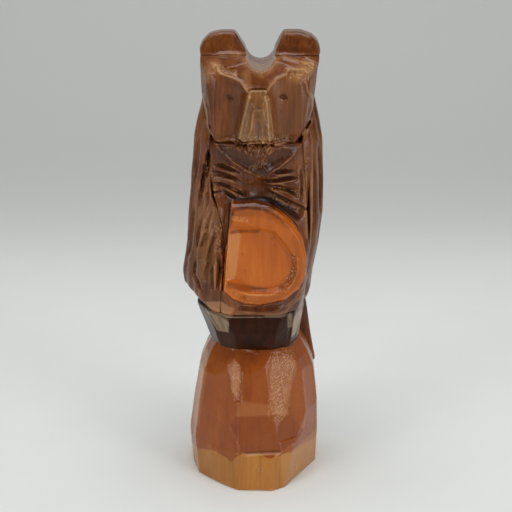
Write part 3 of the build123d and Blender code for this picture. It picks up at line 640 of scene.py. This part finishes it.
# belly disc: ridges and cuts in its rim, dents in its floor, then painted shade along its top edge, round its
# lower rim and in its grooves, a paler strip at its left, and a painted glint high on the left with glitter
# in the right groove and low on the left
for line, width, depth in (
        ([(-11.6, 87.4), (-6.1, 84.0), (0.5, 82.8), (4.8, 83.0), (9.6, 83.2)], 0.8, -0.35),
        ([(1.0, 107.5), (6.9, 106.4), (12.4, 98.9), (13.1, 93.2), (11.9, 89.5)], 0.6, -0.3),
        ([(-5.8, 107.0), (-6.8, 98.0), (-7.9, 89.6)], 0.7, -0.35),
        ([(-9.6, 107.7), (-5.4, 107.9), (1.6, 107.9)], 0.8, 0.45),
        ([(15.9, 98.6), (16.2, 93.4), (14.0, 87.6)], 0.8, -0.3)):
    wood.stroke(line, width, depth, limit=-20, taper=0.08)
for x, z in ((6.1, 104.9), (7.0, 102.5), (-5.1, 98.9), (-4.2, 92.4)):
    wood.ball((x, -23.8, z), 0.5)
wood.patch([(-10.4, 119.6), (7.6, 119.6), (12.6, 116.8), (16.6, 111.6), (15.8, 110.5), (7.4, 116.2),
            (-3.0, 117.0),
            (-8.0, 116.2), (-9.2, 111.0), (-10.4, 108.0)], -0.80)
wood.paint([(-8.0, 114.6), (0.0, 115.4), (7.0, 113.8), (12.0, 110.4)], 1.8, -0.35)
wood.paint([(15.0, 104.0), (16.6, 95.0), (13.5, 84.4), (5.0, 80.8), (-4.0, 80.6)], 3.6, -0.34)
wood.patch([(-10.2, 107.2), (-5.8, 107.0), (-6.8, 98.0), (-7.9, 89.6), (-11.0, 88.6)], 0.42)
wood.patch([(-11.0, 88.4), (-4.0, 86.3), (4.0, 85.2), (4.0, 83.8), (-4.0, 84.2), (-11.2, 86.2)], -0.55)
wood.paint([(9.4, 85.2), (12.4, 88.0), (14.0, 91.5)], 1.4, -0.60)
wood.paint([(14.2, 93.0), (14.0, 98.5)], 1.1, -0.45)
wood.paint([(-9.6, 107.8), (1.6, 107.9)], 0.7, -0.35)
wood.paint([(-8.4, 113.4), (-5.0, 112.6)], 1.3, 0.30)
wood.scuff_and_glint([(-8.2, 113.4), (-3.4, 112.6)], 1.5)
wood.scuff_and_glint([(10.6, 84.6), (14.2, 90.4), (14.6, 98.0)], 0.9)
wood.scuff_and_glint([(-9.0, 84.0), (-2.0, 81.0)], 0.7)

# right wing: long feather cuts, then ridges between them
for line in ([(-20.1, 127.6), (-21.0, 121.0), (-21.8, 114.3)], [(-18.8, 114.3), (-20.7, 109.2),
                                                                (-23.2, 98.4)],
             [(-16.5, 114.3), (-18.1, 109.2), (-19.3, 103.2), (-21.2, 98.4)],
             [(-15.0, 106.4), (-17.4, 100.0), (-18.2, 94.4), (-19.8, 87.1)],
             [(-17.1, 94.4), (-16.7, 88.7), (-16.8, 83.8)], [(-14.3, 99.2), (-14.0, 92.0), (-14.9, 83.8)],
             [(-24.1, 113.1), (-25.4, 103.2), (-26.3, 94.4)], [(-23.2, 94.4), (-23.7, 87.9), (-20.7, 82.2)],
             [(-19.4, 131.0), (-19.8, 125.5), (-20.7, 119.7)], [(-17.8, 137.9), (-18.3, 132.1),
                                                                (-18.7, 125.5)],
             [(-21.9, 141.7), (-22.7, 134.1), (-23.6, 124.4)]):
    wood.stroke(line, 1.2, 1.0, limit=-4)
for line in ([(-17.6, 117.1), (-19.9, 111.2), (-21.1, 106.4), (-21.6, 101.2), (-22.8, 97.6)],
             [(-15.7, 115.1), (-17.3, 110.4), (-18.1, 106.4), (-19.3, 103.2)],
             [(-16.6, 103.2), (-18.6, 99.2), (-19.4, 96.0), (-22.4, 94.4)],
             [(-19.0, 94.4), (-20.6, 90.4), (-21.4, 87.1)], [(-15.9, 94.4), (-16.0, 89.1), (-15.6, 83.8)],
             [(-24.7, 96.4), (-26.7, 91.2)]):
    wood.stroke(line, 0.7, -0.5, limit=-4)
wood.scuff_and_glint([(-14.4, 109.0), (-14.4, 99.0)], 2.0)
wood.scuff_and_glint([(-19.3, 131.5), (-19.4, 121.0)], 1.2)
wood.scuff_and_glint([(-18.6, 112.0), (-20.4, 100.0)], 1.2)
# painted highlight on the wing's upper part
wood.paint([(-21.0, 148.0), (-21.5, 134.0)], 4.0, 0.16)
wood.paint([(-19.0, 112.0), (-20.0, 92.0)], 7.0, 0.28)

# left wing: three long cuts
for line in ([(19.9, 130.0), (20.0, 123.3), (20.1, 113.4), (20.3, 101.4)],
             [(22.0, 135.6), (22.6, 123.7), (22.7, 109.7), (21.7, 97.5)],
             [(23.5, 139.5), (24.4, 131.7), (24.9, 121.8), (24.7, 109.7)]):
    wood.stroke(line, 1.0, 0.8, limit=0)
wood.paint([(18.9, 128.0), (19.3, 104.0)], 1.2, 0.30)
wood.paint([(22.0, 140.0), (22.0, 105.0)], 5.0, 0.10)
wood.scuff_and_glint([(18.2, 131.5), (19.6, 134.5)], 0.9)

# tail and the side of the foot block: paler strips
wood.paint([(20.6, 74.0), (23.4, 50.0)], 2.6, 0.75)
wood.paint([(18.6, 69.0), (17.0, 60.0)], 1.0, 0.6)

# head: brows, scoops' outlines, ledges under the ears, then the left scoop in painted shade and the right one
# painted lighter, and painted highlights on the right cheek, the crown, the temples and the forehead, with
# glitter on the temples and under the beak
for line, width, depth in (
        ([(-16.7, 169.5), (-14.9, 169.2), (-13.1, 166.7), (-9.0, 165.4), (-5.4, 163.6),
          (-2.3, 159.7)], 0.9, -0.5),
        ([(3.6, 160.0), (5.2, 162.3), (7.5, 164.7), (11.1, 166.2), (11.8, 167.9), (18.2, 167.9)], 0.8, -0.4),
        ([(-19.6, 157.8), (-19.4, 154.7), (-18.6, 152.6), (-18.4, 146.3), (-15.4, 141.2)], 0.7, -0.4),
        ([(18.2, 164.6), (19.3, 159.9), (21.2, 156.8), (21.2, 152.6), (20.0, 148.9)], 0.7, -0.4),
        ([(-2.3, 159.1), (-3.1, 156.8), (-4.7, 150.5), (-6.2, 142.6)], 0.6, -0.3),
        ([(3.8, 157.8), (4.4, 152.6), (4.8, 147.3), (5.2, 141.8)], 0.6, -0.3),
        ([(20.6, 147.6), (18.4, 143.3), (15.6, 139.4)], 1.2, 0.5),
        ([(-14.4, 172.0), (-10.2, 172.2), (-5.5, 172.0)], 1.0, -0.4),
        ([(9.2, 172.0), (12.8, 171.2), (19.7, 169.3)], 1.0, -0.4)):
    wood.stroke(line, width, depth, limit=-2, taper=0.12)
    if depth < 0:
        wood.paint(line, 0.55, 0.45)
wood.patch([(-16.7, 168.5), (-13.1, 166.0), (-9.0, 164.6), (-5.4, 162.8), (-3.2, 158.6), (-4.7, 150.5),
            (-6.4, 143.4), (-14.6, 142.0), (-17.6, 146.3), (-18.4, 154.7), (-18.2, 162.0)], -0.16, 0.22)
wood.patch([(4.0, 158.8), (5.4, 161.6), (7.7, 164.0), (11.3, 165.4), (16.4, 165.6), (18.2, 160.0),
            (20.2, 156.0),
            (20.2, 152.6), (19.0, 148.0), (15.6, 143.6), (7.0, 142.6), (5.4, 148.0)], 0.10, 0.22)
for line in ([(-3.0, 159.6), (-4.6, 152.0), (-6.9, 142.6)], [(4.4, 159.6), (5.4, 152.0), (6.6, 142.6)]):
    wood.stroke(line, 2.2, -1.3, limit=-2, taper=0.1)
wood.paint([(20.6, 147.6), (18.4, 143.3), (15.6, 139.4)], 1.3, 0.55)
wood.paint([(-3.4, 171.0), (1.7, 167.5), (6.8, 171.0)], 3.0, 0.30)
wood.paint([(-17.5, 165.0), (-15.2, 168.0)], 3.2, 0.40)
wood.paint([(15.2, 165.6), (19.6, 168.4)], 3.4, 0.40)
wood.paint([(-3.9, 166.0), (-2.8, 161.6)], 2.2, 0.30)
wood.paint([(-9.5, 158.0), (-9.8, 157.4)], 1.6, -0.4)
wood.paint([(10.3, 158.2), (10.6, 157.8)], 1.5, -0.35)
wood.paint([(-10.0, 152.0), (-12.0, 145.0)], 4.0, 0.08)
wood.scuff_and_glint([(14.6, 166.4), (18.6, 166.0)], 2.6)
wood.scuff_and_glint([(18.0, 169.6), (21.6, 168.0)], 1.8)
wood.scuff_and_glint([(-14.5, 168.4), (-8.0, 166.8)], 1.4)
wood.scuff_and_glint([(-5.5, 141.6), (6.5, 141.6)], 2.2)
wood.scuff_and_glint([(5.5, 143.0), (12.0, 142.4)], 1.2)

# beak: nostril line, edges and the hollow down its middle, with painted shade in the hollow and a painted
# highlight down its left edge
wood.stroke([(-1.4, 155.1), (2.9, 154.8)], 0.6, 0.4, limit=-10, taper=0.1)
wood.stroke([(-0.7, 153.9), (2.4, 153.9)], 0.6, -0.3, limit=-10, taper=0.1)
for line in ([(-1.2, 153.7), (-1.8, 148.0), (-3.1, 143.2)],
             [(2.7, 154.8), (3.6, 150.1), (4.4, 145.9), (5.0, 142.7)]):
    wood.stroke(line, 0.7, -0.4, limit=-10, taper=0.1)
wood.stroke([(0.8, 151.1), (0.9, 147.0), (0.8, 143.5)], 1.6, 0.9, limit=-10)
wood.paint([(1.0, 160.4), (0.9, 156.2)], 5.0, -0.18)
wood.paint([(0.9, 148.0), (0.9, 143.0)], 1.6, -0.45)
wood.paint([(-2.6, 152.0), (-4.4, 143.5)], 1.6, 0.20)
wood.scuff_and_glint([(-5.0, 143.0), (5.0, 143.0)], 2.2)

# ears: darker than the head, with painted shade along the foot of each
for line in ([(-17.0, 175.5), (-7.0, 175.5)], [(11.0, 175.5), (20.0, 175.5)]):
    wood.paint(line, 5.0, -0.16)
wood.paint([(-7.0, 177.5), (-4.8, 174.6)], 1.8, -0.35)
wood.paint([(9.4, 174.0), (20.0, 173.2)], 1.3, -0.30)

wood.tear(0.7, 1.2, 41)
wood.find_edges()
for node, slot, material in (
        ("foot_block", "dark_stain", black_wood), ("body", "dark_stain", dark_wood),
        ("belly_disc", "orange_stain", orange_wood), ("wing_right", "dark_stain", dark_wood),
        ("wing_left", "dark_stain", dark_wood), ("tail", "dark_stain", dark_wood),
        ("head", "red_stain", red_wood), ("beak", "pale_stain", pale_wood),
        ("ear_left", "red_stain", red_wood), ("ear_right", "red_stain", red_wood)):
    glued.part(node).piece("carved_" + node, node, slot, material)

for node in ("perch_dowel", "neck_dowel", "disc_peg", "wing_pegs"):
    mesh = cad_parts[node].data
    mesh.materials.clear()
    mesh.materials.append(dowel_wood)

# -------------------------------------------------------- floor, light, camera
scene = bpy.context.scene
scene.view_settings.view_transform = "Standard"

sweep = bpy.data.meshes.new("studio_sweep")
# the sweep runs level, bends up behind the figure, then stands upright, as (y, z) in metres
bend_start = 0.35
bend_radius = 0.45
bend_steps = 14
half_width = 1.6
profile = [(-1.2, 0.0), (bend_start, 0.0)]
for a in np.linspace(0.1, math.pi / 2, bend_steps):
    profile.append((bend_start + bend_radius * math.sin(a), bend_radius - bend_radius * math.cos(a)))
profile.append((0.80, 1.6))
verts = [(x, y, z) for x in (-half_width, half_width) for y, z in profile]
count = len(profile)
faces = [(i, i + count, i + count + 1, i + 1) for i in range(count - 1)]
sweep.from_pydata(verts, [], faces)
sweep.polygons.foreach_set("use_smooth", [True] * len(faces))
floor = bpy.data.objects.new("studio_sweep", sweep)
scene.collection.objects.link(floor)
n = Nodes("paper")
speck = n.noise(n.coords(), 30, 4.0, 0.6)
paper = n.mix(speck, rgb(235, 238, 235), rgb(240, 243, 240))
place = n.tree.nodes.new("ShaderNodeTexCoord")
split = n.tree.nodes.new("ShaderNodeSeparateXYZ")
n.tree.links.new(place.outputs["Object"], split.inputs[0])
# painted shade: the paper turns darker grey towards the back, where the sweep rises behind the figure
backdrop_shade = n.span(split.outputs["Y"], 0.16, 0.50)
n.put(n.shader.inputs["Base Color"], n.mix(backdrop_shade, paper, rgb(200, 201, 198)))
n.shader.inputs["Roughness"].default_value = 0.75
sweep.materials.append(n.material)


def softbox(name, location, target, size, power):
    """A rectangular lamp aimed at a target."""
    lamp = bpy.data.lights.new(name, "AREA")
    lamp.shape = "RECTANGLE"
    lamp.size, lamp.size_y = size
    lamp.energy = power
    holder = bpy.data.objects.new(name, lamp)
    holder.location = location
    aim = np.subtract(target, location)
    flat = math.hypot(aim[0], aim[1])
    holder.rotation_euler = (math.atan2(flat, -aim[2]), 0, math.atan2(-aim[0], aim[1]))
    scene.collection.objects.link(holder)


softbox("ceiling_light", (0.0, -0.15, 1.3), (0, 0, 0.05), (1.0, 0.8), 11.0)
softbox("left_window", (-0.80, -0.85, 0.28), (0, 0, 0.07), (0.30, 0.50), 2.7)
softbox("right_window", (0.80, -0.80, 0.28), (0, 0, 0.07), (0.36, 0.50), 3.2)

world = bpy.data.worlds.new("room")
world.use_nodes = True
background = world.node_tree.nodes["Background"]
background.inputs[0].default_value = (0.93, 0.95, 1.0, 1.0)
background.inputs[1].default_value = 0.16
scene.world = world

camera = bpy.data.cameras.new("camera")
camera.lens = 92.46
camera.sensor_width = 36.0
camera_distance = 0.500
camera_height = 0.250
camera_dip = 17.7  # degrees below level
holder = bpy.data.objects.new("camera", camera)
holder.location = (0.0, -camera_distance, camera_height)
holder.rotation_euler = (math.radians(90 - camera_dip), 0, 0)
scene.collection.objects.link(holder)
scene.camera = holder
